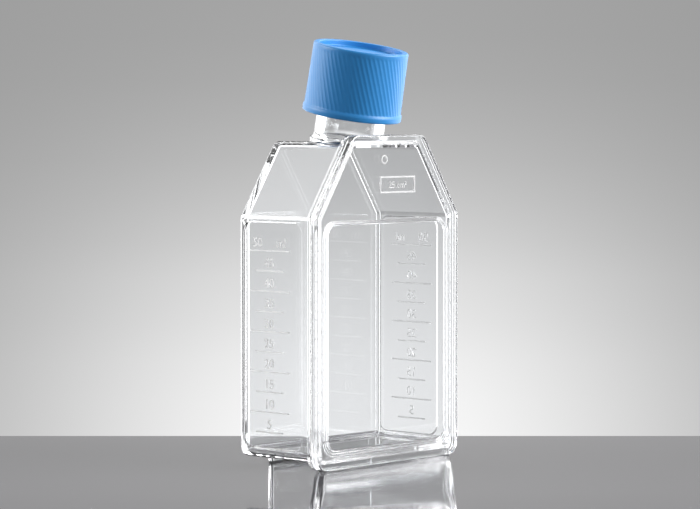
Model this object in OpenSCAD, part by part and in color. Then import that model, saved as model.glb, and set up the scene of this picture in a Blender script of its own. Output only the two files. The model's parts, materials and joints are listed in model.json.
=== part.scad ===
// Cell culture flask: a clear tub with a canted, threaded neck, a clear plate
// welded over its open side, and a ribbed screw cap with a sealing disc.
// It stands on its end: +Z is up, the welded plate faces -Y, the culture wall +Y.
// The origin is the middle of the footprint of the whole part.

/* [Tub] */
// Width over the two side walls
tub_w = 43.5; // [36:0.5:60]
// Depth from the weld to the outside of the culture wall
tub_depth = 21.9; // [16:0.1:40]
// Height from the end wall to the outside of the top wall
tub_h = 67.5; // [60:0.5:100]
// Height of the straight side walls, up to the shoulders
side_h = 51.5; // [35:0.5:54]
// Width over the top wall
top_w = 22.4; // [20:0.1:32]
// Thickness of the tub's walls
wall = 1.3; // [0.8:0.1:2]
// Radius of the tub's corners, seen from the front
corner_r = 2.2; // [1.2:0.1:4]
// Rounding around the culture wall
back_r = 0.9; // [0.4:0.1:2]
// Rounding inside, around the culture wall
back_fillet = 1; // [0.4:0.1:1]

/* [Weld rim] */
// Thickness of the tub's own weld flange
flange_t = 1.2; // [0.6:0.1:2.5]
// How far the rim stands out past the side and shoulder walls
rim_side = 0.95; // [0.3:0.05:3]
// How far the rim stands out past the end wall and the top wall
rim_end = 1.45; // [0.8:0.05:3]
// Radius of the rim's corners
rim_r = 2.8; // [1:0.1:5]

/* [Front plate] */
// Thickness of the plate at its border
plate_t = 2; // [1.2:0.1:4]
// Width of the border left beside and under the sunk field of the inner face
border = 3.9; // [2:0.1:6]
// Distance from the shoulder's height down to the top of that field
field_drop = 1.4; // [0.5:0.1:6]
// Depth of the field
field_depth = 0.4; // [0.1:0.05:0.6]
// Corner radius of the field
field_r = 2.5; // [0.5:0.1:4]
// Width of the raised label frame
label_w = 11.3; // [6:0.1:14]
// Height of the raised label frame
label_h = 3.6; // [2:0.1:6]
// Distance from the top wall down to the middle of the label frame
label_drop = 9.2; // [7:0.1:12]
// Distance from the top wall down to the middle of the gate mark
gate_drop = 3.8; // [2:0.1:5]
// Line width of the label frame and the gate mark
label_line = 0.35; // [0.2:0.05:0.8]
// How far raised lines stand out
line_up = 0.2; // [0.1:0.05:0.3]

/* [Side scale] */
// Depth of the sunk panel on each side wall
panel_depth = 0.35; // [0.1:0.05:0.5]
// Corner radius of the sunk panel
panel_r = 2.4; // [0.5:0.1:4]
// Wall left over and under the sunk panel
panel_edge = 1; // [0.5:0.1:4]
// Wall left between the weld flange and the sunk panel
panel_gap = 2.4; // [0.5:0.1:4]
// Distance from the shoulder down to the top line of the scale
scale_drop = 7.1; // [5:0.1:12]
// How far the scale stands left of its panel's middle, seen from outside
scale_shift = 1.1; // [0:0.1:1.5]
// Distance between two lines of the scale
scale_step = 4.3; // [3:0.1:8]
// Length of the long lines
long_line = 11.6; // [6:0.1:13]
// Length of the short lines
short_line = 8; // [4:0.1:11]
// Thickness of a line
line_t = 0.35; // [0.2:0.05:0.8]

/* [Foot] */
// Width of the foot rib under the end wall
foot_w = 31; // [16:0.5:36]
// Thickness of the foot rib
foot_t = 1.6; // [1:0.1:3]
// Distance from the culture wall's face to the foot rib
foot_inset = 2.2; // [1.4:0.1:6]

/* [Neck] */
// Angle by which the neck leans to the front
neck_cant = 11; // [0:1:14]
// Place of the neck's root behind the middle of the flask's thickness
neck_back = 0.3; // [-1:0.1:2]
// Radius of the neck between its threads
neck_r = 7.55; // [6:0.05:8.5]
// Wall of the neck
neck_wall = 1.4; // [1:0.1:2]
// Length of the neck from the top wall to its mouth
neck_len = 17; // [15:0.1:24]
// How far a thread stands out of the neck
thread_up = 0.9; // [0.5:0.05:1.1]
// Axial advance of the cap in one turn
thread_lead = 6; // [5:0.5:8]
// Number of thread starts
thread_starts = 2; // [1:1:2]

/* [Cap] */
// Height of the cap
cap_h = 15; // [13.5:0.1:18]
// Radius at the plain band around the lower edge
cap_r = 10.75; // [10.7:0.05:13]
// How much smaller the radius is at the top
cap_taper = 0.45; // [0:0.05:0.6]
// Height of the plain band
band_h = 1.3; // [0.6:0.1:2.5]
// Width of the raised rim around the sunk top
cap_rim = 1.3; // [0.8:0.1:2.5]
// Depth of the sunk top
dish_depth = 1.3; // [0.4:0.1:2]
// Thickness of the cap's top
cap_web = 1.4; // [0.8:0.1:2.5]
// Thickness of the sealing disc
seal_t = 1; // [0.5:0.1:2]
// Gap between cap and neck, over the threads and between them
thread_gap = 0.3; // [0.2:0.05:0.4]

/* [Hidden] */
$fn = 96;
eps = 0.01;

// Heights over the standing plane: the rim and the foot rib carry the flask
floor_z = rim_end;
top_z = floor_z + tub_h;

// Places through the thickness, counted from the middle of the flask
depth = plate_t + tub_depth;
front_y = -depth / 2;
weld_y = front_y + plate_t;
back_y = depth / 2;

// The neck's own axis, from its root on the top wall to the cap's top
cap_top = neck_len + seal_t + cap_web + dish_depth;
cap_low = cap_top - cap_h;
crest_r = neck_r + thread_up;
cap_bore = crest_r + thread_gap;
cap_top_r = cap_r - cap_taper;
edge_r = 0.5;

// Middle of the footprint, between the cap's front and the culture wall
cap_reach = neck_back - cap_top * sin(neck_cant) - cap_top_r * cos(neck_cant);
middle_y = (min(front_y, cap_reach) + back_y) / 2;

// Slope of the shoulder walls, measured from the vertical
slope = atan((tub_w - top_w) / 2 / (tub_h - side_h));

// Threads: the ridge's width at its root and at its crest, how deep its root
// lies in the wall, its steps in one turn and the steps over which it fades
ridge_root = 1.3;
ridge_crest = 0.7;
ridge_sink = 0.3;
ridge_steps = 48;
ridge_fade = 4;

// Each thread starts near its own part's edge and stops short of the other's
thread_near = 1.6;
thread_far = 2.6;
neck_thread_low = cap_low + thread_far;
neck_thread_high = neck_len - thread_near;
cap_thread_low = cap_low + thread_near;
cap_thread_high = neck_len - thread_far;

// Scale and panel on the side walls
scale_top = side_h - scale_drop;
scale_count = floor((scale_top - wall) / scale_step);
panel_front = weld_y + flange_t + panel_gap;
panel_back = back_y - back_r - panel_depth;
panel_mid = (panel_front + panel_back) / 2;

// Outline of the tub as seen from the front, counted from its end wall. It is
// grown by `side` past the side and shoulder walls and by `end` past the ends.
function outline(side, end) =
    let (w = tub_w / 2 + side,
         reach = tub_w / 2 * cos(slope) + side_h * sin(slope) + side,
         shoulder = (reach - w * cos(slope)) / sin(slope),
         top = tub_h + end,
         top_x = (reach - top * sin(slope)) / cos(slope))
    [[-w, -end], [w, -end], [w, shoulder], [top_x, top], [-top_x, top], [-w, shoulder]];

function unit(v) = v / norm(v);

// Points of the arc that rounds corner b between its neighbours a and c
function corner_arc(a, b, c, r, steps = 6) =
    let (to_a = unit(a - b),
         to_c = unit(c - b),
         half = acos(to_a * to_c) / 2,
         centre = b + unit(to_a + to_c) * r / sin(half),
         from = centre - unit(to_a + to_c) * r,
         sweep = 180 - 2 * half)
    [for (i = [0:steps])
        let (turn = (i / steps - 0.5) * sweep,
             arm = from - centre)
        centre + [arm.x * cos(turn) - arm.y * sin(turn), arm.x * sin(turn) + arm.y * cos(turn)]];

// Outline with all its corners rounded; the points run anticlockwise
function rounded(points, r) =
    let (n = len(points))
    [for (i = [0:n - 1])
        each corner_arc(points[(i + n - 1) % n], points[i], points[(i + 1) % n], r)];

// A flat shape drawn in X and Z, made solid from y0 back to y1
module slab(y0, y1) {
    translate([0, y1, floor_z])
        rotate([90, 0, 0])
            linear_extrude(y1 - y0)
                children();
}

// The tub's outline grown by `side` and `end`, from y0 to y1, with the edge
// at y1 rounded by `edge`
module tub_block(side, end, y0, y1, corner, edge) {
    hull() {
        slab(y0, y1 - edge)
            polygon(rounded(outline(side, end), corner));
        for (turn = [30, 60, 90])
            let (back = y1 - edge * (1 - sin(turn)),
                 inset = edge * (1 - cos(turn)))
            slab(back - eps, back)
                polygon(rounded(outline(side - inset, end - inset), corner - inset / 2));
    }
}

// Children are drawn along the neck's axis, from its root on the top wall
module on_neck() {
    translate([0, neck_back, top_z])
        rotate([neck_cant, 0, 0])
            children();
}

// One ridge of a thread: a strip swept along a helix between two heights.
// `root` lies inside the wall, `crest` is the free edge, and `phase` is the
// height by which the ridge is moved along the helix.
module ridge(root, crest, low, high, start) {
    turns = (high - low) / thread_lead;
    steps = ceil(turns * ridge_steps);
    function fade(i) = max(0, 1 - (min(i, steps - i) + 1) / (ridge_fade + 1));
    function ring(i) =
        let (turn = 360 * turns * i / steps + start,
             z = low + (high - low) * i / steps,
             r = crest + (root - crest) * fade(i))
        [for (p = [[root, -ridge_root / 2], [r, -ridge_crest / 2],
                   [r, ridge_crest / 2], [root, ridge_root / 2]])
            [p[0] * cos(turn), p[0] * sin(turn), z + p[1]]];
    points = [for (i = [0:steps]) each ring(i)];
    walls = [for (i = [0:steps - 1], k = [0:3])
        let (a = 4 * i + k, b = 4 * i + (k + 1) % 4)
        each [[a, b, b + 4], [a, b + 4, a + 4]]];
    last = 4 * steps;
    ends = [[0, 2, 1], [0, 3, 2], [last, last + 1, last + 2], [last, last + 2, last + 3]];
    flip = root > crest;
    faces = concat(walls, ends);
    polyhedron(points, flip ? [for (f = faces) [f[0], f[2], f[1]]] : faces);
}

module thread(root, crest, low, high, shift) {
    first = 360 * (low - shift) / thread_lead;
    for (s = [0:thread_starts - 1])
        ridge(root, crest, low, high, first + 360 * s / thread_starts);
}

module neck_solid() {
    lip = 0.4;
    flare = 0.7;
    rotate_extrude()
        polygon([[0, -2 * wall], [neck_r + flare, -2 * wall], [neck_r + flare, 0],
                 [neck_r, 2 * flare], [neck_r, neck_len - lip],
                 [neck_r - lip, neck_len], [0, neck_len]]);
}

// Sunk panel on the side wall at +X or -X
module side_panel(side) {
    low = floor_z + wall + panel_edge;
    high = floor_z + side_h - panel_edge;
    size = [panel_back - panel_front, high - low];
    corners = [[0, 0], [size.x, 0], [size.x, size.y], [0, size.y]];
    translate([side * tub_w / 2 - panel_depth, panel_front, low])
        rotate([90, 0, 90])
            linear_extrude(2 * panel_depth)
                polygon(rounded(corners, panel_r));
}

// Moulded lines of the scale on the side wall at +X or -X
module side_scale(side) {
    for (i = [0:scale_count - 1])
        let (length = i % 2 == 0 ? long_line : short_line)
        translate([side * (tub_w / 2 - panel_depth), panel_mid - side * scale_shift,
                   floor_z + scale_top - i * scale_step])
            cube([2 * line_up, length, line_t], center = true);
}

module flask_body() {
    color("aliceblue", 0.5) {
        difference() {
            union() {
                tub_block(0, 0, weld_y, back_y, corner_r, back_r);
                slab(weld_y, weld_y + flange_t)
                    polygon(rounded(outline(rim_side, rim_end), rim_r));
                translate([-foot_w / 2, back_y - foot_inset - foot_t, 0])
                    cube([foot_w, foot_t, floor_z + wall / 2]);
                on_neck() {
                    neck_solid();
                    thread(neck_r - ridge_sink, crest_r, neck_thread_low, neck_thread_high, 0);
                }
            }
            tub_block(-wall, -wall, weld_y - eps, back_y - wall, corner_r / 2, back_fillet);
            on_neck()
                translate([0, 0, -3 * wall])
                    cylinder(r = neck_r - neck_wall, h = neck_len + 4 * wall);
            side_panel(1);
            side_panel(-1);
        }
        side_scale(1);
        side_scale(-1);
    }
}

// Sunk field of the plate's inner face, as high as the straight side walls
module inner_field() {
    side = border - rim_side;
    low = border - rim_end;
    x = tub_w / 2 - side;
    high = side_h - field_drop;
    polygon(rounded([[-x, low], [x, low], [x, high], [-x, high]], field_r));
}

// Raised frame for a label, and the round mark left by the mould's gate
module plate_marks() {
    inner = [label_w - 2 * label_line, label_h - 2 * label_line];
    translate([label_w / 5, tub_h - label_drop])
        difference() {
            square([label_w, label_h], center = true);
            square(inner, center = true);
        }
    gate_r = 1;
    translate([-2 * gate_r, tub_h - gate_drop])
        difference() {
            circle(gate_r);
            circle(gate_r - label_line);
        }
}

module front_plate() {
    color("aliceblue", 0.5) {
        difference() {
            slab(front_y, weld_y)
                polygon(rounded(outline(rim_side, rim_end), rim_r));
            slab(weld_y - field_depth, weld_y + eps)
                inner_field();
        }
        slab(front_y - line_up, front_y + line_up)
            plate_marks();
    }
}

module screw_cap() {
    ledge = 0.25;
    dish_r = cap_top_r - cap_rim;
    web_low = neck_len + seal_t;
    shoulder_r = cap_r - ledge;
    band_top = cap_low + band_h;
    rim_edge = [for (turn = [0:22.5:90])
        [cap_top_r - edge_r * (1 - cos(turn)), cap_top - edge_r * (1 - sin(turn))]];
    color("dodgerblue")
        on_neck() {
            rotate_extrude()
                polygon(concat(
                    [[cap_bore, cap_low], [cap_r, cap_low], [cap_r, band_top],
                     [shoulder_r, band_top + ledge]],
                    rim_edge,
                    [[dish_r, cap_top], [dish_r - ledge, cap_top - dish_depth],
                     [0, cap_top - dish_depth], [0, web_low], [cap_bore, web_low]]));
            thread(cap_bore + ridge_sink, neck_r + thread_gap, cap_thread_low, cap_thread_high,
                   thread_lead / thread_starts / 2);
        }
}

module cap_seal() {
    color("white")
        on_neck()
            translate([0, 0, neck_len])
                cylinder(r = cap_bore - thread_gap, h = seal_t);
}

// Everything is counted from the middle of the flask, and set down so that
// the middle of the footprint is the origin
translate([0, -middle_y, 0]) {
    flask_body();
    front_plate();
    screw_cap();
    cap_seal();
}
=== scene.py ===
"""Cell culture flask of clear moulded polystyrene with a blue screw cap, on a studio table.

The packed CAD model is the frame. Each of its parts is built again in the same form, with
rounded edges, moulded marks, weld ridges and grip ribs, and the new piece takes its place.
"""

import json
import math

import bmesh
import bpy
from bpy.props import FloatProperty, FloatVectorProperty, IntProperty, PointerProperty
from mathutils import Matrix, Vector


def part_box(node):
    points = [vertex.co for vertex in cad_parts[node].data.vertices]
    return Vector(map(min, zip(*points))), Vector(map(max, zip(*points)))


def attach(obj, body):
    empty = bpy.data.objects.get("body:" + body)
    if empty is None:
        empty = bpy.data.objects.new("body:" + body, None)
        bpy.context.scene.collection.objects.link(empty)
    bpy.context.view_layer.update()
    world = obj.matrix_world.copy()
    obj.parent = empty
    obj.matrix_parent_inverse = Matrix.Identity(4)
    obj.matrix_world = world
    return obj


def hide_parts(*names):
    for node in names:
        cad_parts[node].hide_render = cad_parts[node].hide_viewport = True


bl_info = {
    "name": "Cell culture flask",
    "version": (1, 0, 0),
    "blender": (4, 5, 0),
    "location": "3D View > Sidebar > Flask",
    "description": "Builds a clear culture flask with its screw cap, and the table under it",
    "category": "Object",
}

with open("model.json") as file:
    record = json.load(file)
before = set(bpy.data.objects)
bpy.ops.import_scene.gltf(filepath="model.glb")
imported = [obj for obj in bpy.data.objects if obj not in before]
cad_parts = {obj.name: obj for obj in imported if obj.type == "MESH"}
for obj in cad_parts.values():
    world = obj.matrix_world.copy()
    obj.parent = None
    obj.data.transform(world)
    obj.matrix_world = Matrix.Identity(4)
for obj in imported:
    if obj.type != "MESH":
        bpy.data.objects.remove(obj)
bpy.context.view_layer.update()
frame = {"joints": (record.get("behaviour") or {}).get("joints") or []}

MM = 0.001
TINY = MM / 1000  # a length that counts as nothing
BODY_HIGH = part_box("flask_body")[1]
PLATE_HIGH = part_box("front_plate")[1]
CAP_LOW, CAP_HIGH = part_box("screw_cap")
WELD_Y = PLATE_HIGH.y  # where the plate lies on the body's flange

# The neck's own frame: Z along the neck, with its origin in the middle of its mouth
CAP_TURN = next(joint for joint in frame["joints"] if joint["name"] == "cap_turn")
NECK_UP = Vector(CAP_TURN["axis"]).normalized()
NECK_SIDE = Vector((1, 0, 0))
NECK_BACK = NECK_UP.cross(NECK_SIDE)
NECK_MOUTH = Vector(CAP_TURN["pos_m"])
ON_NECK = Matrix.Translation(NECK_MOUTH) @ Matrix(
    (NECK_SIDE, NECK_BACK, NECK_UP)).transposed().to_4x4()


def linear(hex_colour):
    """Turns an sRGB hex colour into the linear red, green, blue and alpha of a socket."""
    parts = [int(hex_colour[i:i + 2], 16) / 255 for i in (1, 3, 5)]
    return [c / 12.92 if c <= 0.04045 else ((c + 0.055) / 1.055) ** 2.4 for c in parts] + [1.0]


# ---------------------------------------------------------------- sizes and colours

def length(name, description, millimetres):
    """A length property whose default is written in millimetres."""
    return FloatProperty(name=name, description=description, default=millimetres * MM,
                         min=0, unit="LENGTH", precision=5)


def colour(name, description, hex_colour):
    """A colour property whose default is an sRGB hex colour."""
    return FloatVectorProperty(name=name, description=description, subtype="COLOR", size=4,
                               min=0, max=1, default=linear(hex_colour))


class FlaskTub(bpy.types.PropertyGroup):
    """Sizes of the clear body"""

    wall: length("Wall", "Thickness of the walls", 1.3)
    side_height: length("Side height", "Height of the straight side walls", 51.5)
    top_width: length("Top width", "Width over the top wall", 22.4)
    corner: length("Corner", "Radius of the corners, seen from the front", 2.2)
    back_edge: length("Back edge", "Rounding around the culture wall", 0.9)
    back_fillet: length("Back fillet", "Rounding inside, around the culture wall", 1.0)
    flange: length("Flange", "Thickness of the weld flange", 1.2)
    rim_side: length("Rim, sides", "Overhang of the rim at the side walls", 0.95)
    rim_end: length("Rim, ends", "Overhang of the rim at the end walls", 1.45)
    rim_corner: length("Rim corner", "Radius of the rim's corners", 2.8)
    edge: length("Edge", "Rounding left by the mould on outer edges", 0.28)
    fillet: length("Fillet", "Rounding in the corner under the flange", 0.3)
    weld_gap: length("Weld gap", "Room between body and plate for the weld ridges", 0.26)
    foot_width: length("Foot width", "Width of the rib under the end wall", 31)
    foot_thickness: length("Foot thickness", "Thickness of that rib", 1.6)
    foot_inset: length("Foot inset", "Distance of that rib from the culture wall", 2.2)


class FlaskPlate(bpy.types.PropertyGroup):
    """Sizes of the welded front plate"""

    thickness: length("Thickness", "Thickness of the plate at its border", 2)
    border: length("Border", "Width of the border beside and under the sunk field", 3.9)
    weld: length("Weld", "Width of the weld all round", 2.2)
    ridge_up: length("Ridge height", "Height of the fine weld ridges", 0.22)
    field_drop: length("Field drop", "From the shoulder's height down to the field", 1.4)
    field_depth: length("Field depth", "Depth of the field in the inner face", 0.4)
    field_corner: length("Field corner", "Corner radius of the field", 2.5)
    bar: length("Bar", "Width of the ridges along the top of the field", 0.8)
    edge: length("Edge", "Rounding of the plate's front edge", 0.45)
    label_width: length("Label width", "Width of the label frame", 11.3)
    label_height: length("Label height", "Height of the label frame", 3.6)
    label_drop: length("Label drop", "From the top wall down to the label frame's middle", 9.2)
    gate_drop: length("Gate drop", "From the top wall down to the gate mark's middle", 3.8)
    line: length("Line", "Width of a raised line", 0.35)
    line_up: length("Line height", "Height of a raised line", 0.2)


class FlaskScale(bpy.types.PropertyGroup):
    """Sizes of the moulded scales"""

    panel_depth: length("Panel depth", "Depth of the sunk side panel", 0.35)
    panel_corner: length("Panel corner", "Corner radius of the side panel", 2.4)
    panel_edge: length("Panel edge", "Wall left above and below the side panel", 1)
    panel_front: length("Panel front", "Wall left between the flange and the side panel", 2.4)
    drop: length("Drop", "From the shoulder down to the top line", 7.1)
    shift: length("Shift", "How far the scale stands left of its panel's middle", 1.1)
    step: length("Step", "Distance between two lines", 4.3)
    long_line: length("Long line", "Length of the long lines", 11.6)
    short_line: length("Short line", "Length of the short lines", 8)
    line: length("Line", "Thickness of a line", 0.35)
    line_up: length("Line height", "Height of lines and figures", 0.2)
    figure: length("Figure", "Height of the figures", 2.1)
    top_value: IntProperty(name="Top value", description="Millilitres at the top line",
                           default=50)
    value_step: IntProperty(name="Value step", description="Millilitres between lines",
                            default=5)


class FlaskNeck(bpy.types.PropertyGroup):
    """Sizes of the neck and its thread"""

    radius: length("Radius", "Radius between the threads", 7.55)
    wall: length("Wall", "Wall of the neck", 1.4)
    length: length("Length", "From the top wall to the mouth", 17)
    thread_up: length("Thread height", "How far a thread stands out", 0.9)
    lead: length("Lead", "Advance of the cap in one turn", 6)
    starts: IntProperty(name="Starts", description="Number of thread starts", default=2, min=1)
    gap: length("Gap", "Gap between cap and neck", 0.3)


class FlaskCap(bpy.types.PropertyGroup):
    """Sizes of the screw cap"""

    height: length("Height", "Height of the cap", 15)
    taper: length("Taper", "How much smaller the radius is at the top", 0.45)
    band: length("Band", "Height of the plain band", 1.3)
    ledge: length("Ledge", "Step from the band to the ribs", 0.25)
    rim: length("Rim", "Width of the raised rim", 1.3)
    dish: length("Dish", "Depth of the sunk top", 1.3)
    web: length("Web", "Thickness of the top", 1.4)
    seal: length("Seal", "Thickness of the sealing disc", 1)
    collar: length("Collar", "Height of the smooth collar above the ribs", 1.1)
    rib_up: length("Rib height", "How far a grip rib stands out", 0.05)
    ribs: IntProperty(name="Ribs", description="Number of grip ribs", default=64, min=8)
    rib_slant: FloatProperty(name="Rib slant", description="Turn of a rib over its height",
                             default=math.radians(-25), subtype="ANGLE")


class FlaskFinish(bpy.types.PropertyGroup):
    """Colours of the pieces and of the table"""

    polystyrene: colour("Polystyrene", "Tint of the clear plastic", "#FCFDFE")
    marks: colour("Marks", "Colour of the frosted raised marks", "#FFFFFF")
    cap: colour("Cap", "Colour of the cap's polyethylene", "#288CD4")
    seal: colour("Seal", "Colour of the sealing disc's foam", "#F0F0EC")
    table: colour("Table", "Colour of the table top", "#6A696D")


GROUPS = {
    "flask_tub": FlaskTub,
    "flask_plate": FlaskPlate,
    "flask_scale": FlaskScale,
    "flask_neck": FlaskNeck,
    "flask_cap": FlaskCap,
    "flask_finish": FlaskFinish,
}


# ---------------------------------------------------------------- shapes

CORNER_STEPS = 6  # straight pieces in a rounded corner


def rounded(points, radius):
    """Points of a convex outline, anticlockwise, with all its corners rounded."""
    ring = []
    for i, corner in enumerate(points):
        before = (points[i - 1] - corner).normalized()
        after = (points[(i + 1) % len(points)] - corner).normalized()
        half = math.acos(before.dot(after)) / 2
        inward = (before + after).normalized()
        centre = corner + inward * radius / math.sin(half)
        sweep = math.pi - 2 * half
        for k in range(CORNER_STEPS + 1):
            turn = Matrix.Rotation((k / CORNER_STEPS - 0.5) * sweep, 2)
            ring.append(centre - turn @ inward * radius)
    return ring


def quarter(radius, steps=4):
    """Steps along a quarter circle: the first number falls from the radius to 0 while the
    second rises from 0 to the radius."""
    turns = [math.pi / 2 * k / steps for k in range(steps + 1)]
    return [(radius * (1 - math.sin(t)), radius * (1 - math.cos(t))) for t in turns]


def face_to_wall(place, radius):
    """Rounded edge from a face at a place to the wall that follows, as (growth, place)."""
    return [(-a, place + b) for a, b in quarter(radius)]


def face_to_root(place, radius):
    """Hollow rounding from a face at a place to a wall that stands on it."""
    return [(a, place + b) for a, b in quarter(radius)]


def wall_to_face(place, radius, steps=4):
    """Rounded edge from a wall to the face at a place that closes it."""
    return [(-b, place - a) for a, b in quarter(radius, steps)]


def facing_up(points, z):
    """Flat points drawn in X and Y, placed at z."""
    return [Vector((p.x, p.y, z)) for p in points]


def facing_front(points, y):
    """Flat points drawn in X and Z, placed at y."""
    return [Vector((p.x, y, p.y)) for p in points]


def facing_side(points, x):
    """Flat points drawn in Y and Z, placed at x."""
    return [Vector((x, p.x, p.y)) for p in points]


def rectangle(low, high):
    """Corners of a rectangle between two corners, anticlockwise."""
    return [Vector(p) for p in (low, (high[0], low[1]), high, (low[0], high[1]))]


def grown(points, growth):
    """A convex outline, anticlockwise, with each of its sides moved out by the growth."""
    ring = []
    for i, corner in enumerate(points):
        before = (corner - points[i - 1]).normalized()
        after = (points[(i + 1) % len(points)] - corner).normalized()
        out_before = Vector((before.y, -before.x))
        out_after = Vector((after.y, -after.x))
        outward = (out_before + out_after) * growth
        ring.append(corner + outward / (1 + out_before.dot(out_after)))
    return ring


def add_strip(bm, rings):
    """Adds faces between rings of equal numbers of points, and gives the rows back."""
    rows = [[bm.verts.new(point) for point in ring] for ring in rings]
    for low, high in zip(rows, rows[1:]):
        for k, vertex in enumerate(low):
            bm.faces.new((low[k - 1], vertex, high[k], high[k - 1]))
    return rows


def solid(rings):
    """A closed solid through rings of equal numbers of points."""
    bm = bmesh.new()
    rows = add_strip(bm, rings)
    bm.faces.new(rows[0])
    bm.faces.new(rows[-1])
    bmesh.ops.recalc_face_normals(bm, faces=bm.faces)
    return bm


def turned_ring(radius, height, columns, shape=None):
    """A ring about the neck's axis. shape(angle, radius, height) may move its points."""
    ring = []
    for k in range(columns):
        angle, out, up = 2 * math.pi * k / columns, radius, height
        if shape:
            angle, out, up = shape(angle, out, up)
        ring.append(ON_NECK @ Vector((out * math.cos(angle), out * math.sin(angle), up)))
    return ring


def as_object(name, bm, material):
    """An object of its own, of one material, from a bmesh, which is freed."""
    mesh = bpy.data.meshes.new(name)
    mesh.materials.append(material)
    bm.to_mesh(mesh)
    bm.free()
    piece = bpy.data.objects.new(name, mesh)
    bpy.context.scene.collection.objects.link(piece)
    return piece


def extent(mesh):
    """How far a mesh reaches along X, Y and Z."""
    return [max(v.co[i] for v in mesh.vertices) - min(v.co[i] for v in mesh.vertices)
            for i in range(3)]


def carve(piece, bm, operation, material=None):
    """Joins a solid to the piece with UNION, or cuts it out with DIFFERENCE. The new
    faces get the material, or else the piece's first one. Only raised marks bring a
    material of their own, and the outlines of their figures may cross themselves."""
    tool = as_object("tool", bm, material or piece.data.materials[0])
    before = extent(piece.data)
    modifier = piece.modifiers.new("carve", "BOOLEAN")
    modifier.object = tool
    modifier.operation = operation
    modifier.solver = "EXACT"
    modifier.material_mode = "TRANSFER"
    modifier.use_self = material is not None
    evaluated = piece.evaluated_get(bpy.context.evaluated_depsgraph_get())
    carved = bpy.data.meshes.new_from_object(evaluated)
    piece.modifiers.remove(modifier)
    piece.data = carved
    bpy.data.objects.remove(tool)
    if not carved.polygons:
        raise RuntimeError(f"{operation} left nothing of {piece.name}")
    grew = any(new > old + TINY for new, old in zip(extent(carved), before))
    if operation == "DIFFERENCE" and grew:
        raise RuntimeError(f"a cut left a part of its tool on {piece.name}")


def finish_piece(piece, body, sharp=32):
    """Clears the slivers that cuts leave, smooths the shading except over edges of more
    than sharp degrees, and hands the piece to the frame."""
    mesh = piece.data
    bm = bmesh.new()
    bm.from_mesh(mesh)
    bmesh.ops.dissolve_degenerate(bm, dist=TINY, edges=bm.edges)
    bm.to_mesh(mesh)
    bm.free()
    mesh.shade_smooth()
    mesh.set_sharp_from_angle(angle=math.radians(sharp))
    normals = piece.modifiers.new("flat faces stay flat", "WEIGHTED_NORMAL")
    normals.keep_sharp = True
    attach(piece, body)


# ---------------------------------------------------------------- materials

def add_node(tree, kind, inputs=None, **settings):
    """Adds a node to a tree. Each of its inputs gets a value, or a link from an output
    socket or from a node's first output; settings are the node's own properties."""
    node = tree.nodes.new(kind)
    for name, value in settings.items():
        setattr(node, name, value)
    for name, value in (inputs or {}).items():
        if isinstance(value, bpy.types.Node):
            value = value.outputs[0]
        if isinstance(value, bpy.types.NodeSocket):
            tree.links.new(value, node.inputs[name])
        else:
            node.inputs[name].default_value = value
    return node


def polystyrene_clear(tree):
    """Crystal polystyrene from a polished mould: high index, so its edges flash white."""
    return add_node(tree, "ShaderNodeBsdfPrincipled", {
        "Base Color": bpy.context.scene.flask_finish.polystyrene,
        "Transmission Weight": 1.0, "Roughness": 0.012, "IOR": 1.59})


def polystyrene_frosted(tree):
    """Raised marks from an eroded part of the mould: they scatter light to a soft white."""
    return add_node(tree, "ShaderNodeBsdfPrincipled", {
        "Base Color": bpy.context.scene.flask_finish.marks,
        "Transmission Weight": 0.7, "Roughness": 0.5, "IOR": 1.59})


def polyethylene_moulded(tree):
    """Blue high-density polyethylene, moulded: waxy, with a broad soft sheen. The mould's
    grain is finer than can be seen, so it is drawn coarser, 0.4 mm wide, and very flat."""
    place = add_node(tree, "ShaderNodeTexCoord")
    grain = add_node(tree, "ShaderNodeTexNoise", {
        "Vector": place.outputs["Object"], "Scale": 1 / (0.4 * MM), "Detail": 3.0})
    bump = add_node(tree, "ShaderNodeBump", {
        "Height": grain.outputs["Fac"], "Strength": 0.25, "Distance": 0.01 * MM})
    return add_node(tree, "ShaderNodeBsdfPrincipled", {
        "Base Color": bpy.context.scene.flask_finish.cap, "Normal": bump,
        "Roughness": 0.42, "IOR": 1.54})


def foam_white(tree):
    """Closed-cell polyethylene foam, die-cut: dull white with pores 0.35 mm apart."""
    place = add_node(tree, "ShaderNodeTexCoord")
    pores = add_node(tree, "ShaderNodeTexVoronoi", {
        "Vector": place.outputs["Object"], "Scale": 1 / (0.35 * MM)})
    bump = add_node(tree, "ShaderNodeBump", {
        "Height": pores.outputs["Distance"], "Strength": 0.5, "Distance": 0.05 * MM})
    return add_node(tree, "ShaderNodeBsdfPrincipled", {
        "Base Color": bpy.context.scene.flask_finish.seal, "Normal": bump,
        "Roughness": 0.8, "IOR": 1.5})


def laminate_satin(tree):
    """Satin laminate of the table top: grey, with a clear, slightly soft mirror image."""
    return add_node(tree, "ShaderNodeBsdfPrincipled", {
        "Base Color": bpy.context.scene.flask_finish.table, "Roughness": 0.03, "IOR": 1.5})


FINISHES = {
    "polystyrene_clear": polystyrene_clear,
    "polystyrene_frosted": polystyrene_frosted,
    "polyethylene_moulded": polyethylene_moulded,
    "foam_white": foam_white,
    "laminate_satin": laminate_satin,
}


def finish(name):
    """The material of this name, which is made when it is first asked for."""
    material = bpy.data.materials.get(name)
    if not material:
        material = bpy.data.materials.new(name)
        material.use_nodes = True
        tree = material.node_tree
        tree.nodes.clear()
        add_node(tree, "ShaderNodeOutputMaterial", {"Surface": FINISHES[name](tree)})
    return material


# ---------------------------------------------------------------- raised marks

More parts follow.
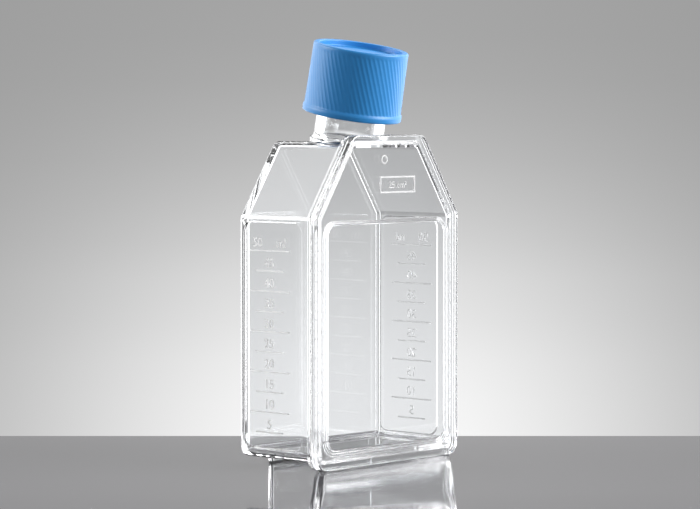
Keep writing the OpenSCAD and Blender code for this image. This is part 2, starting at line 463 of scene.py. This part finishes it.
ROOT = 0.05 * MM  # how deep the root of a raised mark lies in its wall
CAPITAL = 0.73  # height of the built-in font's figures, as a share of its size
FIGURE_ROOM = 2.2  # from a line's middle up to its figures, in line thicknesses
UNIT_ASIDE = 0.3  # from the scale's middle to the top figures and to their unit, in top lines
LABEL_FIGURE = 0.42  # height of the size mark, as a share of its frame's height
LABEL_ASIDE = 1 / 5  # from the plate's middle to the label frame's, in frame widths
GATE_ASIDE = 2 * MM  # from the plate's middle to the gate mark's
GATE_RADIUS = MM  # outer radius of the gate mark
NEARLY_ROUND = 0.98  # a corner radius in half widths, which leaves short straight sides


def bar(place, width, height, up):
    """A raised bar on a mark's face, its front edges rounded."""
    soft = up / 3
    x, y = place
    corners = rectangle((x - width / 2, y - height / 2), (x + width / 2, y + height / 2))
    profile = [(0, -ROOT)] + wall_to_face(up, soft, 2)
    return solid([facing_up(grown(corners, grow), z) for grow, z in profile])


def figures(text, height, up, place=(0, 0)):
    """Raised plain figures with their foot at a place, centred on it."""
    curve = bpy.data.curves.new("figures", "FONT")
    curve.body = text
    curve.align_x = "CENTER"
    curve.size = height / CAPITAL
    curve.extrude = (up + ROOT) / 2
    curve.resolution_u = 3
    shape = bpy.data.objects.new("figures", curve)
    mesh = bpy.data.meshes.new_from_object(shape)
    bm = bmesh.new()
    bm.from_mesh(mesh)
    bmesh.ops.translate(bm, verts=bm.verts, vec=(*place, (up - ROOT) / 2))
    bmesh.ops.remove_doubles(bm, verts=bm.verts, dist=TINY)
    bpy.data.objects.remove(shape)
    bpy.data.curves.remove(curve)
    bpy.data.meshes.remove(mesh)
    return bm


def outline_strip(corners, width, up, corner=0.0):
    """A raised closed line of even width that runs inside an outline."""
    bm = bmesh.new()
    rings = []
    for grow, z in ((0, -ROOT), (0, up), (-width, up), (-width, -ROOT), (0, -ROOT)):
        points = grown(corners, grow)
        if corner:
            points = rounded(points, corner + grow)
        rings.append(facing_up(points, z))
    rows = add_strip(bm, rings)
    bmesh.ops.weld_verts(bm, targetmap=dict(zip(rows[-1], rows[0])))
    bmesh.ops.recalc_face_normals(bm, faces=bm.faces)
    return bm


def gathered(parts, placing):
    """One bmesh of several raised parts, moved onto their face by a matrix."""
    whole = bmesh.new()
    for part in parts:
        mesh = bpy.data.meshes.new("part")
        part.to_mesh(mesh)
        part.free()
        whole.from_mesh(mesh)
        bpy.data.meshes.remove(mesh)
    bmesh.ops.transform(whole, matrix=placing, verts=whole.verts)
    bmesh.ops.recalc_face_normals(whole, faces=whole.faces)
    return whole


def side_scale(side):
    """The raised volume scale in the sunk panel at +X or -X."""
    tub, scale = bpy.context.scene.flask_tub, bpy.context.scene.flask_scale
    low, high = panel_place()
    top = tub.side_height - scale.drop
    count = int((top - tub.wall) / scale.step)
    middle = -scale.shift
    parts = []
    for k in range(count):
        z = tub.rim_end + top - k * scale.step
        line = scale.long_line if k % 2 == 0 else scale.short_line
        foot = z + FIGURE_ROOM * scale.line
        value = str(scale.top_value - k * scale.value_step)
        parts.append(bar((middle, z), line, scale.line, scale.line_up))
        if k:
            parts.append(figures(value, scale.figure, scale.line_up, (middle, foot)))
        else:
            aside = UNIT_ASIDE * line
            parts.append(figures(value, scale.figure, scale.line_up, (middle - aside, foot)))
            parts.append(figures("ml", scale.figure, scale.line_up, (middle + aside, foot)))
    face = BODY_HIGH.x - tub.rim_side - scale.panel_depth
    # Drawn flat, then turned so that it reads upright from outside the wall
    return gathered(parts, Matrix((
        (0, 0, side, side * face), (side, 0, 0, (low[0] + high[0]) / 2),
        (0, 1, 0, 0), (0, 0, 0, 1))))


def plate_marks():
    """The raised label frame on the plate, its plain size mark and the gate mark."""
    tub, plate = bpy.context.scene.flask_tub, bpy.context.scene.flask_plate
    top = PLATE_HIGH.z - tub.rim_end
    half = Vector((plate.label_width, plate.label_height)) / 2
    centre = Vector((plate.label_width * LABEL_ASIDE, top - plate.label_drop))
    figure = LABEL_FIGURE * plate.label_height
    gate = Vector((-GATE_ASIDE, top - plate.gate_drop))
    reach = Vector((GATE_RADIUS, GATE_RADIUS))
    parts = [
        outline_strip(rectangle(centre - half, centre + half), plate.line, plate.line_up),
        figures("25 cm²", figure, plate.line_up, centre - Vector((0, figure / 2))),
        outline_strip(rectangle(gate - reach, gate + reach), plate.line, plate.line_up,
                      corner=NEARLY_ROUND * GATE_RADIUS)]
    # Drawn flat, then turned so that it stands out of the plate's front
    return gathered(parts, Matrix((
        (1, 0, 0, 0), (0, 0, -1, plate_front()), (0, 1, 0, 0), (0, 0, 0, 1))))


# ---------------------------------------------------------------- the clear body

THREAD_ROOT = 1.3 * MM  # width of a thread at its foot
THREAD_CREST = 0.7 * MM  # width of a thread at its top
THREAD_NEAR = 1.6 * MM  # from a thread's end to the edge of its own part
THREAD_FAR = 2.6 * MM  # from a thread's end to the edge of the other part
THREAD_STEP = 0.15 * MM  # height of one row of points on a threaded wall
NECK_FLARE = 0.7 * MM  # how far the neck widens into the top wall
LIP_EDGE = 0.4 * MM  # rounding of the mouth, outside
MOUTH_EDGE = 0.35 * MM  # rounding of the mouth, inside
NECK_COLUMNS = 144  # points around the threaded neck
PLAIN_COLUMNS = 96  # points around a plain round form


def tub_outline(side, end):
    """Corners of the tub seen from the front, grown by side past its side and
    shoulder walls and by end past its end walls."""
    tub = bpy.context.scene.flask_tub
    half = BODY_HIGH.x - tub.rim_side
    floor = tub.rim_end
    height = PLATE_HIGH.z - 2 * tub.rim_end
    slope = math.atan2(half - tub.top_width / 2, height - tub.side_height)
    reach = half * math.cos(slope) + tub.side_height * math.sin(slope) + side
    width = half + side
    shoulder = (reach - width * math.cos(slope)) / math.sin(slope)
    top = height + end
    top_x = (reach - top * math.sin(slope)) / math.cos(slope)
    return [Vector((x, floor + z)) for x, z in (
        (-width, -end), (width, -end), (width, shoulder),
        (top_x, top), (-top_x, top), (-width, shoulder))]


def rim_rings(profile):
    """Rings of the weld rim's outline, from a profile of (growth, y)."""
    tub = bpy.context.scene.flask_tub
    return [facing_front(rounded(tub_outline(tub.rim_side + grow, tub.rim_end + grow),
                                 tub.rim_corner + grow), y) for grow, y in profile]


def wall_rings(profile, inside=0.0, corner=None):
    """Rings of the tub's walls, drawn in by the distance inside, from (growth, y)."""
    corner = corner or bpy.context.scene.flask_tub.corner
    return [facing_front(rounded(tub_outline(grow - inside, grow - inside),
                                 corner + grow), y) for grow, y in profile]


def tub_outside():
    """The tub's outside with its weld flange, closed towards the plate."""
    tub = bpy.context.scene.flask_tub
    face = WELD_Y + tub.weld_gap
    step = WELD_Y + tub.flange
    return solid(rim_rings(face_to_wall(face, tub.edge) + wall_to_face(step, tub.edge))
                 + wall_rings(face_to_root(step, tub.fillet)
                              + wall_to_face(BODY_HIGH.y, tub.back_edge, 6)))


def tub_inside():
    """The room inside the tub, open towards the plate."""
    tub = bpy.context.scene.flask_tub
    profile = [(0, WELD_Y - tub.wall)] + wall_to_face(BODY_HIGH.y - tub.wall, tub.back_fillet)
    return solid(wall_rings(profile, inside=tub.wall, corner=tub.corner / 2))


def foot_rib():
    """The rib under the end wall, which carries the back of the standing flask."""
    tub = bpy.context.scene.flask_tub
    back = BODY_HIGH.y - tub.foot_inset
    corners = rectangle((-tub.foot_width / 2, back - tub.foot_thickness),
                        (tub.foot_width / 2, back))
    profile = face_to_wall(0, tub.edge) + [(0, tub.rim_end + tub.wall / 2)]
    return solid([facing_up(rounded(grown(corners, grow), 2 * tub.edge + grow), z)
                  for grow, z in profile])


def thread_rise(angle, height, first, last, shift):
    """How far a thread stands out, from 0 to 1. Its flanks slope, and at its first and
    its last height it fades out over a twelfth of its lead."""
    neck = bpy.context.scene.flask_neck
    root, crest, fade = THREAD_ROOT / 2, THREAD_CREST / 2, neck.lead / 12
    pitch = neck.lead / neck.starts
    off = (height - shift - neck.lead * angle / (2 * math.pi) + pitch / 2) % pitch - pitch / 2
    centre = height - off
    flank = (root - abs(off)) / (root - crest)
    share = max(0, min(1, flank, (centre - first) / fade, (last - centre) / fade))
    return share * share * (3 - 2 * share)


def heights(low, high, step):
    """Heights from low to high, evenly spaced by about the step."""
    count = max(1, round((high - low) / step))
    return [low + (high - low) * k / count for k in range(count + 1)]


def neck_outside():
    """The neck's outside with its thread, standing on a small flare in the top wall."""
    tub, neck = bpy.context.scene.flask_tub, bpy.context.scene.flask_neck
    root, low = -neck.length, cap_bottom()
    rows = heights(root + 2 * NECK_FLARE, -LIP_EDGE, THREAD_STEP)
    profile = [(neck.radius + NECK_FLARE, root - 2 * tub.wall)]
    profile += [(neck.radius + a, root + 2 * b) for a, b in quarter(NECK_FLARE, 6)]
    profile += [(neck.radius, h) for h in rows[1:-1]]
    profile += [(neck.radius - b, -a) for a, b in quarter(LIP_EDGE)]

    def with_thread(angle, radius, height):
        rise = thread_rise(angle, height, low + THREAD_FAR, -THREAD_NEAR, root)
        return angle, radius + neck.thread_up * rise, height

    return solid([turned_ring(r, h, NECK_COLUMNS, with_thread) for r, h in profile])


def neck_bore():
    """The way through the neck, with a rounded edge at the mouth."""
    tub, neck = bpy.context.scene.flask_tub, bpy.context.scene.flask_neck
    bore = neck.radius - neck.wall
    mouth = bore + MOUTH_EDGE
    profile = [(bore, -neck.length - 3 * tub.wall)]
    profile += [(mouth - a, b - MOUTH_EDGE) for b, a in reversed(quarter(MOUTH_EDGE))]
    profile += [(mouth, neck.wall)]
    return solid([turned_ring(r, h, PLAIN_COLUMNS) for r, h in profile])


def panel_place():
    """Low and high corner, in Y and Z, of the sunk panel on a side wall."""
    tub, scale = bpy.context.scene.flask_tub, bpy.context.scene.flask_scale
    low = (WELD_Y + tub.flange + scale.panel_front,
           tub.rim_end + tub.wall + scale.panel_edge)
    high = (BODY_HIGH.y - tub.back_edge - scale.panel_depth,
            tub.rim_end + tub.side_height - scale.panel_edge)
    return low, high


def side_panel(side):
    """What the mould leaves out for the sunk panel on the side wall at +X or -X."""
    tub, scale = bpy.context.scene.flask_tub, bpy.context.scene.flask_scale
    face = BODY_HIGH.x - tub.rim_side
    soft = scale.panel_depth / 2
    corners = rectangle(*panel_place())
    profile = [(soft, -tub.wall)] + face_to_root(0, soft)
    profile += wall_to_face(scale.panel_depth, soft)[1:]
    return solid([facing_side(rounded(grown(corners, grow), scale.panel_corner + grow),
                              side * (face - depth)) for grow, depth in profile])


class FLASK_OT_body(bpy.types.Operator):
    """Builds the clear moulded body: tub, weld flange, foot rib and threaded neck"""

    bl_idname = "flask.body"
    bl_label = "Clear body"

    def execute(self, context):
        piece = as_object("clear_body", tub_outside(), finish("polystyrene_clear"))
        for side in (1, -1):
            carve(piece, side_panel(side), "DIFFERENCE")
            carve(piece, side_scale(side), "UNION", finish("polystyrene_frosted"))
        carve(piece, foot_rib(), "UNION")
        carve(piece, neck_outside(), "UNION")
        carve(piece, tub_inside(), "DIFFERENCE")
        carve(piece, neck_bore(), "DIFFERENCE")
        finish_piece(piece, "flask")
        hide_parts("flask_body")
        return {"FINISHED"}


# ---------------------------------------------------------------- the front plate

RIM_RIDGES = (2, 0.62)  # how many ridges run along the rim, and where the first one starts
FIELD_RIDGES = (3, 0.06)  # the same for those around the field, as a share of their strip
RIDGES_END = 0.98  # where the last ridge ends, as a share of its strip's width
RIDGE_FILL = 0.92  # how much of its own room a ridge takes up
RIDGE_CORNER = 0.4 * MM  # least corner radius of a ridge
RIDGE_STEPS = 8  # faces over one ridge


def plate_front():
    """Where the plate's front face lies. The raised marks stand out before it."""
    return WELD_Y - bpy.context.scene.flask_plate.thickness


def field_corners():
    """Corners of the sunk field in the plate's inner face."""
    tub, plate = bpy.context.scene.flask_tub, bpy.context.scene.flask_plate
    half = PLATE_HIGH.x - plate.border
    top = tub.rim_end + tub.side_height - plate.field_drop
    return rectangle((-half, plate.border), (half, top))


def plate_field():
    """What the mould leaves out for the sunk field."""
    plate = bpy.context.scene.flask_plate
    soft = plate.field_depth / 2
    corners = field_corners()
    profile = [(soft, -plate.border)] + face_to_root(0, soft)
    profile += wall_to_face(plate.field_depth, soft)[1:]
    return solid([facing_front(rounded(grown(corners, grow), plate.field_corner + grow),
                               WELD_Y - depth) for grow, depth in profile])


def ridge(outline, start, width, up):
    """One half-round ridge on the plate's inner face. outline(share) gives the corners
    and their radius at a share of the strip's width, of which the ridge takes the width
    from the start."""
    bm = bmesh.new()
    rings = []
    for k in range(RIDGE_STEPS + 1):
        turn = math.pi * k / RIDGE_STEPS
        corners, corner = outline(start + width * (1 - math.cos(turn)) / 2)
        rise = up * math.sin(turn) if 0 < k < RIDGE_STEPS else -up / 2
        rings.append(facing_front(rounded(corners, corner), WELD_Y + rise))
    rows = add_strip(bm, rings)
    for k, vertex in enumerate(rows[0]):
        bm.faces.new((rows[0][k - 1], vertex, rows[-1][k], rows[-1][k - 1]))
    bmesh.ops.recalc_face_normals(bm, faces=bm.faces)
    return bm


def weld_ridges():
    """Fine ridges along the weld, and around the field of the plate's inner face."""
    tub, plate = bpy.context.scene.flask_tub, bpy.context.scene.flask_plate
    (left, low), _, (right, high), _ = field_corners()
    beside = plate.border - plate.weld

    def along_rim(share):
        """Strip of the weld, from the rim's edge inwards."""
        inset = share * plate.weld
        return (tub_outline(tub.rim_side - inset, tub.rim_end - inset),
                max(tub.rim_corner - inset, RIDGE_CORNER))

    def around_field(share):
        """Strip between the field and the weld, from the field outwards."""
        side, top = share * beside, share * plate.bar
        return (rectangle((left - side, low - side), (right + side, high + top)),
                plate.field_corner + (side + top) / 2)

    ridges = []
    for outline, (count, first) in ((along_rim, RIM_RIDGES), (around_field, FIELD_RIDGES)):
        pitch = (RIDGES_END - first) / count
        width = pitch * RIDGE_FILL
        for k in range(count):
            ridges.append(ridge(outline, first + pitch * k, width, plate.ridge_up))
    return ridges


class FLASK_OT_plate(bpy.types.Operator):
    """Builds the clear front plate that is welded onto the body's flange"""

    bl_idname = "flask.plate"
    bl_label = "Front plate"

    def execute(self, context):
        tub, plate = context.scene.flask_tub, context.scene.flask_plate
        profile = face_to_wall(plate_front(), plate.edge) + wall_to_face(WELD_Y, tub.edge)
        blank = solid(rim_rings(profile))
        piece = as_object("clear_plate", blank, finish("polystyrene_clear"))
        carve(piece, plate_field(), "DIFFERENCE")
        for tool in weld_ridges():
            carve(piece, tool, "UNION")
        carve(piece, plate_marks(), "UNION", finish("polystyrene_frosted"))
        finish_piece(piece, "flask")
        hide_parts("front_plate")
        return {"FINISHED"}


# ---------------------------------------------------------------- cap and seal

CAP_EDGE = 0.3 * MM  # rounding of the lower edge and in the dish
CAP_RIM_EDGE = 0.5 * MM  # rounding of the raised rim's outer edge
BAND_STEP = 0.5 * MM  # height of one row of points on the plain band
RIB_ROWS = (0.02, 0.04, 0.08, 0.25, 0.5, 0.75, 0.92, 0.96, 0.98, 1)  # shares of a rib's height
RIB_POWER = 0.7  # under 1, the grooves between the ribs are wider than the ribs
RIB_COLUMNS = 8  # points around one rib
BORE_SHARE = 4  # points on the outside for one on the inside
SEAL_EDGE = 0.15 * MM  # rounding of the sealing disc


def cap_top():
    """Height of the cap's rim over the neck's mouth."""
    cap = bpy.context.scene.flask_cap
    return cap.seal + cap.web + cap.dish


def cap_bottom():
    """Height of the cap's lower edge, below the neck's mouth."""
    return cap_top() - bpy.context.scene.flask_cap.height


def cap_outside_rings():
    """Rings from the cap's lower edge up its ribbed skirt, over the rim and into the dish."""
    cap = bpy.context.scene.flask_cap
    radius = (CAP_HIGH.x - CAP_LOW.x) / 2
    top_radius = radius - cap.taper
    skirt = radius - cap.ledge
    low, high = cap_bottom(), cap_top()
    band = low + cap.band
    rib_low, rib_high = band + cap.ledge, high - cap.collar
    columns = cap.ribs * RIB_COLUMNS

    def with_ribs(angle, out, up):
        share = max(0, min(1, (up - rib_low) / (rib_high - rib_low)))
        fade = min(1, (up - rib_low) / cap.ledge, (rib_high - up) / cap.ledge)
        wave = 0.5 - 0.5 * math.cos(angle * cap.ribs)
        groove = cap.rib_up * max(0, fade) * wave ** RIB_POWER
        return angle + cap.rib_slant * share, out - groove, up

    inner, floor = top_radius - cap.rim, high - cap.dish
    profile = [(radius - a, low + b) for a, b in quarter(CAP_EDGE)]
    profile += [(radius, h) for h in heights(low + CAP_EDGE, band, BAND_STEP)[1:]]
    profile += [(skirt, rib_low)]
    for share in RIB_ROWS:
        out = skirt + (top_radius - skirt) * share
        profile.append((out, rib_low + (rib_high - rib_low) * share))
    profile += [(top_radius - b, high - a) for a, b in quarter(CAP_RIM_EDGE)]
    profile += [(inner + a, high - b) for b, a in reversed(quarter(CAP_EDGE))]
    profile += [(inner - b, floor + a) for a, b in quarter(CAP_EDGE)]
    return [turned_ring(out, up, columns, with_ribs) for out, up in profile]


def cap_inside_rings():
    """Rings from the cap's lower edge up its threaded bore to the web."""
    neck, cap = bpy.context.scene.flask_neck, bpy.context.scene.flask_cap
    bore = neck.radius + neck.thread_up + neck.gap
    low = cap_bottom()
    shift = neck.lead / neck.starts / 2 - neck.length  # halfway between the neck's threads

    def with_thread(angle, radius, height):
        rise = thread_rise(angle, height, low + THREAD_NEAR, -THREAD_FAR, shift)
        return angle, radius - neck.thread_up * rise, height

    profile = [(bore + a, low + b) for a, b in quarter(CAP_EDGE)]
    profile += [(bore, h) for h in heights(low + CAP_EDGE, cap.seal, THREAD_STEP)[1:]]
    columns = cap.ribs * RIB_COLUMNS // BORE_SHARE
    return [turned_ring(r, h, columns, with_thread) for r, h in profile]


class FLASK_OT_cap(bpy.types.Operator):
    """Builds the screw cap with its slanting grip ribs and its inner thread"""

    bl_idname = "flask.cap"
    bl_label = "Screw cap"

    def execute(self, context):
        bm = bmesh.new()
        outside = add_strip(bm, cap_outside_rings())
        inside = add_strip(bm, cap_inside_rings())
        bm.faces.new(outside[-1])
        bm.faces.new(inside[-1])
        fine, coarse = outside[0], inside[0]
        for k, vertex in enumerate(coarse):
            start = (k - 1) % len(coarse) * BORE_SHARE
            stretch = [fine[(start + n) % len(fine)] for n in range(BORE_SHARE + 1)]
            bm.faces.new([vertex, coarse[k - 1]] + stretch)
        bmesh.ops.recalc_face_normals(bm, faces=bm.faces)
        piece = as_object("ribbed_cap", bm, finish("polyethylene_moulded"))
        finish_piece(piece, "cap", sharp=50)
        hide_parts("screw_cap")
        return {"FINISHED"}


class FLASK_OT_seal(bpy.types.Operator):
    """Builds the foam sealing disc under the cap's top"""

    bl_idname = "flask.seal"
    bl_label = "Sealing disc"

    def execute(self, context):
        neck, cap = context.scene.flask_neck, context.scene.flask_cap
        radius = neck.radius + neck.thread_up
        profile = [(radius - a, b) for a, b in quarter(SEAL_EDGE)]
        profile += [(radius - b, cap.seal - a) for a, b in quarter(SEAL_EDGE)]
        disc = solid([turned_ring(r, h, PLAIN_COLUMNS) for r, h in profile])
        piece = as_object("foam_disc", disc, finish("foam_white"))
        finish_piece(piece, "seal")
        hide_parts("cap_seal")
        return {"FINISHED"}


# ---------------------------------------------------------------- the studio

# The camera's own directions on the table, which the lamps and the backdrop share
VIEW_TURN = math.radians(47.75)
VIEW_ALONG = Vector((math.sin(VIEW_TURN), math.cos(VIEW_TURN), 0))
VIEW_RIGHT = Vector((math.cos(VIEW_TURN), -math.sin(VIEW_TURN), 0))
UP = Vector((0, 0, 1))

LENS = 144.9  # focal length in mm
LOOK_DOWN = math.radians(2.909)
CAMERA_UP, CAMERA_AWAY, CAMERA_LEFT = 0.07538, 0.60949, 0.00042  # from the origin

TABLE_FAR = 0.0436  # from the flask's middle back to the table's far edge
TABLE_NEAR = 1.2  # from there to its near edge
TABLE_HALF = 1.2  # half its width
TABLE_THICK = 0.02  # thickness of its top
TABLE_EDGE = MM  # rounding of its edges

LAMPS_AWAY = 0.6  # from the flask's middle to each softbox
# Turn from straight ahead to the right and rise, in degrees, width, height and brightness
SOFTBOXES = {
    "softbox_back_left": (-44, 8, 0.60, 0.70, 1.8),
    "softbox_back_right": (44, 8, 0.60, 0.70, 1.8),
    "softbox_right": (100, 28, 0.40, 0.30, 12.5),
    "softbox_left": (-90, 25, 0.30, 0.30, 8.3),
    "softbox_top": (0, 55, 0.50, 0.40, 2.2),
}

# The backdrop's brightness, where 1 is white. The lists hold pairs of share and brightness
WALL_LEVEL = 0.33  # all around
FELT_LEVEL = 0.22  # what it sheds on matt surfaces
GLOW_TURN = math.radians(0.2)  # middle of the glow, to the right
GLOW_WIDTH = math.radians(7.2)  # from there to where it has fallen to about a third
GLOW_RISE = (-7, 3)  # lowest and highest degrees of the glow, shares 0 and 1
GLOW = ((0.0, 0.655), (0.11, 0.62), (0.19, 0.575), (0.275, 0.495), (0.36, 0.428),
        (0.44, 0.333), (0.52, 0.255), (0.60, 0.184), (0.68, 0.13), (0.76, 0.085),
        (0.85, 0.057), (1.0, 0.04))
# Banks of light by turn, from straight ahead at 0 to straight behind at 1
BANKS = ((0.0, 0.0), (0.045, 0.0), (0.08, 0.45), (0.36, 0.45), (0.38, 1.5), (0.405, 1.5),
         (0.44, 0.08), (0.49, 0.08), (0.515, 0.8), (0.60, 0.8), (0.66, 0.3), (1.0, 0.45))
FALL_RISE = (-8, 90)  # lowest and highest degrees of the banks, shares 0 and 1
FALL = ((0.0, 1.0), (0.02, 1.0), (0.075, 0.45), (0.14, 0.45), (0.22, 0.8), (0.75, 0.8),
        (0.82, 0.5), (1.0, 0.5))

BOUNCES = 32  # enough for light to pass every clear wall, there and back
GLOSSY_BOUNCES = 16


def add_camera():
    """A long lens, a little above the flask's middle, looking slightly down."""
    data = bpy.data.cameras.new("camera")
    data.lens = LENS
    data.clip_start, data.clip_end = 0.05, 20
    camera = bpy.data.objects.new("camera", data)
    bpy.context.scene.collection.objects.link(camera)
    look = VIEW_ALONG * math.cos(LOOK_DOWN) - UP * math.sin(LOOK_DOWN)
    camera.location = UP * CAMERA_UP - VIEW_ALONG * CAMERA_AWAY - VIEW_RIGHT * CAMERA_LEFT
    camera.rotation_mode = "QUATERNION"
    camera.rotation_quaternion = look.to_track_quat("-Z", "Y")
    bpy.context.scene.camera = camera


def add_table():
    """The table top: its far edge lies close behind the flask."""
    corners = rectangle((-TABLE_HALF, -TABLE_NEAR), (TABLE_HALF, TABLE_FAR))
    profile = [(-a, -b) for a, b in quarter(TABLE_EDGE)] + [(0, -TABLE_THICK)]
    rings = [[VIEW_RIGHT * p.x + VIEW_ALONG * p.y + UP * z
              for p in grown(corners, grow)] for grow, z in profile]
    table = as_object("table_top", solid(rings), finish("laminate_satin"))
    table.data.shade_smooth()
    table.data.set_sharp_from_angle(angle=math.radians(40))


def add_softbox(name, turn, rise, width, height, brightness):
    """A softbox that faces the flask's middle, from a turn and a rise in degrees.
    brightness is that of its face, where 1 is white."""
    turn, rise = math.radians(turn), math.radians(rise)
    middle = UP * PLATE_HIGH.z / 2
    level = VIEW_ALONG * math.cos(turn) + VIEW_RIGHT * math.sin(turn)
    place = middle + (level * math.cos(rise) + UP * math.sin(rise)) * LAMPS_AWAY
    light = bpy.data.lights.new(name, "AREA")
    light.shape = "RECTANGLE"
    light.size, light.size_y = width, height
    light.energy = brightness * math.pi * width * height
    lamp = bpy.data.objects.new(name, light)
    bpy.context.scene.collection.objects.link(lamp)
    lamp.location = place
    lamp.rotation_mode = "QUATERNION"
    lamp.rotation_quaternion = (middle - place).to_track_quat("-Z", "Y")
    lamp.visible_camera = False


def add_backdrop():
    """The studio around the table: grey above, with a pale glow low behind the flask, and
    banks of light and shade at the sides, which the clear walls mirror and bend."""
    world = bpy.data.worlds.new("studio")
    bpy.context.scene.world = world
    world.use_nodes = True
    tree = world.node_tree
    tree.nodes.clear()
    place = add_node(tree, "ShaderNodeTexCoord").outputs["Generated"]
    # How far the way that is looked leans to the right, ahead and up
    right, ahead, rise = [
        add_node(tree, "ShaderNodeVectorMath", {0: place, 1: direction},
                 operation="DOT_PRODUCT").outputs["Value"]
        for direction in (VIEW_RIGHT, VIEW_ALONG, UP)]
    # Both heights and the turn, as shares from 0 to 1
    glow_rise, fall_rise = [
        add_node(tree, "ShaderNodeMapRange", {
            "Value": rise, "From Min": math.sin(math.radians(low)),
            "From Max": math.sin(math.radians(high))})
        for low, high in (GLOW_RISE, FALL_RISE)]
    turn = add_node(tree, "ShaderNodeMath", {0: right, 1: ahead}, operation="ARCTAN2")
    turn = add_node(tree, "ShaderNodeMath", {0: turn}, operation="ABSOLUTE")
    turn = add_node(tree, "ShaderNodeMath", {0: turn, 1: math.pi}, operation="DIVIDE")
    ramps = []
    for value, stops in ((glow_rise, GLOW), (turn, BANKS), (fall_rise, FALL)):
        ramp = add_node(tree, "ShaderNodeValToRGB", {"Fac": value})
        elements = ramp.color_ramp.elements
        for share, _ in stops[2:]:
            elements.new(share)
        for element, (share, level) in zip(elements, stops):
            element.position = share
            element.color = (level, level, level, 1)
        ramps.append(ramp)
    glow, banks, fall = ramps
    # The glow fades to both sides, and there is none behind the camera
    off = add_node(tree, "ShaderNodeMath", {0: right, 1: GLOW_TURN}, operation="SUBTRACT")
    off = add_node(tree, "ShaderNodeMath", {0: off, 1: GLOW_WIDTH}, operation="DIVIDE")
    bell = add_node(tree, "ShaderNodeMath", {0: off, 1: off}, operation="MULTIPLY")
    bell = add_node(tree, "ShaderNodeMath", {0: bell, 1: -1.0}, operation="MULTIPLY")
    bell = add_node(tree, "ShaderNodeMath", {0: bell}, operation="EXPONENT")
    glow = add_node(tree, "ShaderNodeMath", {0: glow, 1: bell}, operation="MULTIPLY")
    front = add_node(tree, "ShaderNodeMath", {0: ahead, 1: 0.0}, operation="GREATER_THAN")
    glow = add_node(tree, "ShaderNodeMath", {0: glow, 1: front}, operation="MULTIPLY")
    wall = add_node(tree, "ShaderNodeMath", {0: glow, 1: WALL_LEVEL}, operation="ADD")
    banks = add_node(tree, "ShaderNodeMath", {0: banks, 1: fall}, operation="MULTIPLY")
    level = add_node(tree, "ShaderNodeMath", {0: wall, 1: banks}, operation="ADD")
    # Seen straight, mirrored or through the flask, it has all this; matt surfaces are
    # lit by one even level
    white = linear("#FFFFFF")
    seen = add_node(tree, "ShaderNodeBackground", {"Color": white, "Strength": level})
    felt = add_node(tree, "ShaderNodeBackground", {"Color": white, "Strength": FELT_LEVEL})
    path = add_node(tree, "ShaderNodeLightPath").outputs
    shown = add_node(tree, "ShaderNodeMath", {
        0: path["Is Camera Ray"], 1: path["Is Glossy Ray"]}, operation="MAXIMUM")
    shown = add_node(tree, "ShaderNodeMath", {
        0: shown, 1: path["Is Transmission Ray"]}, operation="MAXIMUM")
    mix = add_node(tree, "ShaderNodeMixShader", {0: shown, 1: felt, 2: seen})
    add_node(tree, "ShaderNodeOutputWorld", {"Surface": mix})


class FLASK_OT_studio(bpy.types.Operator):
    """Sets the camera, the table, the backdrop and the soft lights"""

    bl_idname = "flask.studio"
    bl_label = "Studio"

    def execute(self, context):
        add_camera()
        add_table()
        add_backdrop()
        for name, values in SOFTBOXES.items():
            add_softbox(name, *values)
        context.scene.view_settings.view_transform = "Standard"
        context.scene.cycles.max_bounces = BOUNCES
        context.scene.cycles.transmission_bounces = BOUNCES
        context.scene.cycles.glossy_bounces = GLOSSY_BOUNCES
        return {"FINISHED"}


# ---------------------------------------------------------------- panel and run

class FLASK_PT_panel(bpy.types.Panel):
    """Lists the flask's pieces and their sizes"""

    bl_idname = "FLASK_PT_panel"
    bl_label = "Cell culture flask"
    bl_space_type = "VIEW_3D"
    bl_region_type = "UI"
    bl_category = "Flask"

    def draw(self, context):
        for operator in OPERATORS:
            self.layout.operator(operator.bl_idname)
        for name, group in GROUPS.items():
            box = self.layout.box()
            box.label(text=group.__doc__)
            for prop in group.__annotations__:
                box.prop(getattr(context.scene, name), prop)


OPERATORS = (FLASK_OT_studio, FLASK_OT_body, FLASK_OT_plate, FLASK_OT_cap, FLASK_OT_seal)
CLASSES = (*GROUPS.values(), *OPERATORS, FLASK_PT_panel)


def register():
    for cls in CLASSES:
        bpy.utils.register_class(cls)
    for name, group in GROUPS.items():
        setattr(bpy.types.Scene, name, PointerProperty(type=group))


def unregister():
    for name in GROUPS:
        delattr(bpy.types.Scene, name)
    for cls in reversed(CLASSES):
        bpy.utils.unregister_class(cls)


def main():
    """Builds the studio and every piece."""
    register()
    for operator in OPERATORS:
        group, name = operator.bl_idname.split(".")
        getattr(getattr(bpy.ops, group), name)()


if __name__ == "__main__":
    main()
